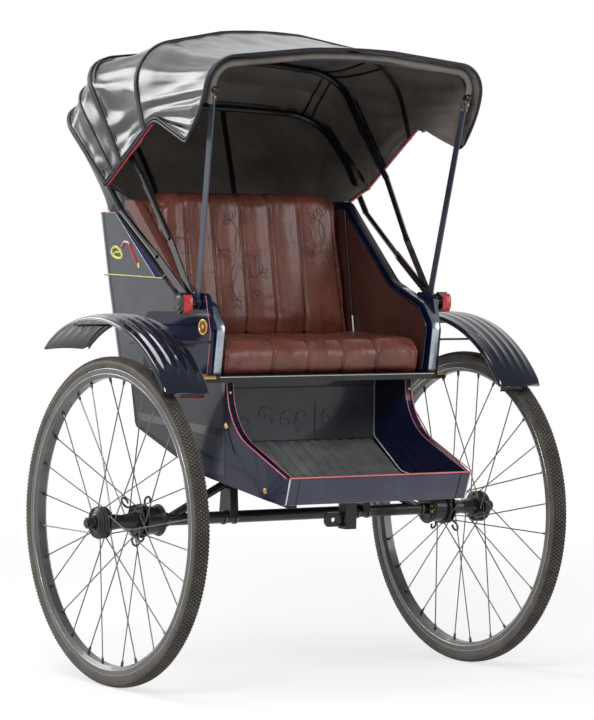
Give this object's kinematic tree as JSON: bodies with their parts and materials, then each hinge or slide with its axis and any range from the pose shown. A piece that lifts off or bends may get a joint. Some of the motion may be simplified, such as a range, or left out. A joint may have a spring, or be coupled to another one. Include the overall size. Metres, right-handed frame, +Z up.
{
  "type": "two-wheeled rickshaw carriage",
  "caption": "Two-wheeled passenger rickshaw carriage with wire-spoke wheels, leather seat, curved footwell and a folding hood; towed by its hitch post.",
  "frame": {"origin": "middle of the hitch post's foot, the face that rests on a stand or towing bracket when the carriage is parked", "axes": "+Z up, +Y to the rear of the carriage, +X to the seated passenger's left, along the axle"},
  "size_m": [1.528, 1.1802, 1.9934],
  "materials": {
    "navy_paint": "gloss",
    "grey_paint": "gloss",
    "black_paint": "gloss",
    "steel": "satin",
    "rim_steel": "satin",
    "tyre_rubber": "matte",
    "mat_rubber": "matte",
    "seat_leather": "satin",
    "pad_leather": "satin",
    "hood_vinyl": "satin"
  },
  "bodies": {
    "carriage": {"axle": "black_paint", "axle_nuts": "black_paint", "chassis_frame": "black_paint", "axle_stays": "black_paint", "hitch_post": "black_paint", "hitch_plate": "black_paint", "lower_side_left": "navy_paint", "lower_side_right": "navy_paint", "front_lip": "navy_paint", "floor_pan": "navy_paint", "floor_mat": "mat_rubber", "footwell_back": "grey_paint", "seat_box_shell": "navy_paint", "seat_board": "black_paint", "upper_side_left": "navy_paint", "upper_side_right": "navy_paint", "arm_plate_left": "navy_paint", "arm_plate_right": "navy_paint", "quarter_panel_left": "grey_paint", "quarter_panel_right": "grey_paint", "rear_panel": "navy_paint", "seat_cushion": "seat_leather", "backrest": "seat_leather", "side_pads": "pad_leather", "fender_left": "navy_paint", "fender_right": "navy_paint", "fender_brackets": "black_paint", "pivot_bolts": "black_paint"},
    "wheel_left": {"tyre_left": "tyre_rubber", "rim_left": "rim_steel", "spokes_left": "steel", "hub_left": "black_paint"},
    "wheel_right": {"tyre_right": "tyre_rubber", "rim_right": "rim_steel", "spokes_right": "steel", "hub_right": "black_paint"},
    "hood_rear": {"rear_legs": "steel", "rear_bow": "black_paint", "rear_curtain": "hood_vinyl"},
    "hood_mid": {"mid_legs": "steel", "mid_bow": "black_paint", "canopy_rear": "hood_vinyl"},
    "hood_front": {"front_legs": "black_paint", "front_bow": "black_paint", "canopy_front": "hood_vinyl"}
  },
  "joints": [
    {"name": "wheel_left_spin", "type": "hinge", "parent": "carriage", "child": "wheel_left", "pos_m": [0.661, 0.28, 0.02], "axis": [1, 0, 0], "continuous": true},
    {"name": "wheel_right_spin", "type": "hinge", "parent": "carriage", "child": "wheel_right", "pos_m": [-0.661, 0.28, 0.02], "axis": [1, 0, 0], "continuous": true},
    {"name": "hood_rear_fold", "type": "hinge", "parent": "carriage", "child": "hood_rear", "pos_m": [0, 0.195, 0.683], "axis": [-1, 0, 0], "range_deg": [0, 35], "deforming": ["rear_curtain"]},
    {"name": "hood_mid_fold", "type": "hinge", "parent": "hood_rear", "child": "hood_mid", "pos_m": [0, 0.195, 0.683], "axis": [-1, 0, 0], "range_deg": [0, 2.5], "deforming": ["canopy_rear"]},
    {"name": "hood_front_fold", "type": "hinge", "parent": "hood_mid", "child": "hood_front", "pos_m": [0, 0.195, 0.683], "axis": [-1, 0, 0], "range_deg": [0, 35.2], "deforming": ["canopy_front"]}
  ],
  "couplings": [
    {"joint": "hood_rear_fold", "follows": "hood_front_fold", "ratio": 0.99431},
    {"joint": "hood_mid_fold", "follows": "hood_front_fold", "ratio": 0.07101}
  ]
}
